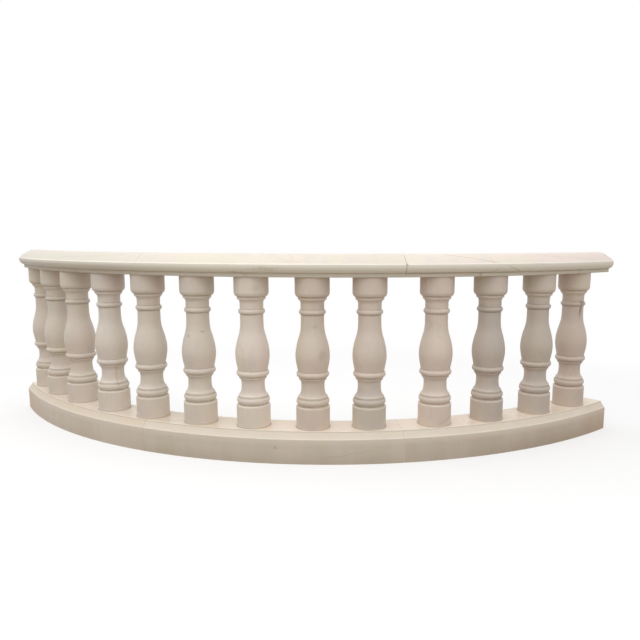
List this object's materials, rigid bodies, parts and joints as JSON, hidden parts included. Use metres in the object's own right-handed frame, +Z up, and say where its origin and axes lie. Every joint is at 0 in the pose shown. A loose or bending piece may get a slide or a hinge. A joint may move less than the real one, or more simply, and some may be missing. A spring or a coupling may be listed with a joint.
{
  "type": "curved stone balustrade",
  "caption": "Free-standing stone balustrade bent to an arc: turned balusters between a low weathered plinth and a moulded top rail, both in lengths with radial joints.",
  "frame": {"origin": "on the ground, in the middle of the balustrade's outline", "axes": "+X along the row, the convex front faces -Y, +Z up"},
  "size_m": [3.4046, 0.9325, 0.96],
  "materials": {
    "turned_stone": "honed",
    "plinth_stone": "honed",
    "rail_stone": "honed",
    "joint_fill": "matte mortar"
  },
  "bodies": {
    "root": {"baluster_01": "turned_stone", "baluster_02": "turned_stone", "baluster_03": "turned_stone", "baluster_04": "turned_stone", "baluster_05": "turned_stone", "baluster_06": "turned_stone", "baluster_07": "turned_stone", "baluster_08": "turned_stone", "baluster_09": "turned_stone", "baluster_10": "turned_stone", "baluster_11": "turned_stone", "baluster_12": "turned_stone", "baluster_13": "turned_stone", "plinth_left": "plinth_stone", "plinth_middle": "plinth_stone", "plinth_right": "plinth_stone", "rail_left": "rail_stone", "rail_middle": "rail_stone", "rail_right": "rail_stone", "plinth_joint_left": "joint_fill", "plinth_joint_right": "joint_fill", "rail_joint_left": "joint_fill", "rail_joint_right": "joint_fill"}
  },
  "joints": []
}
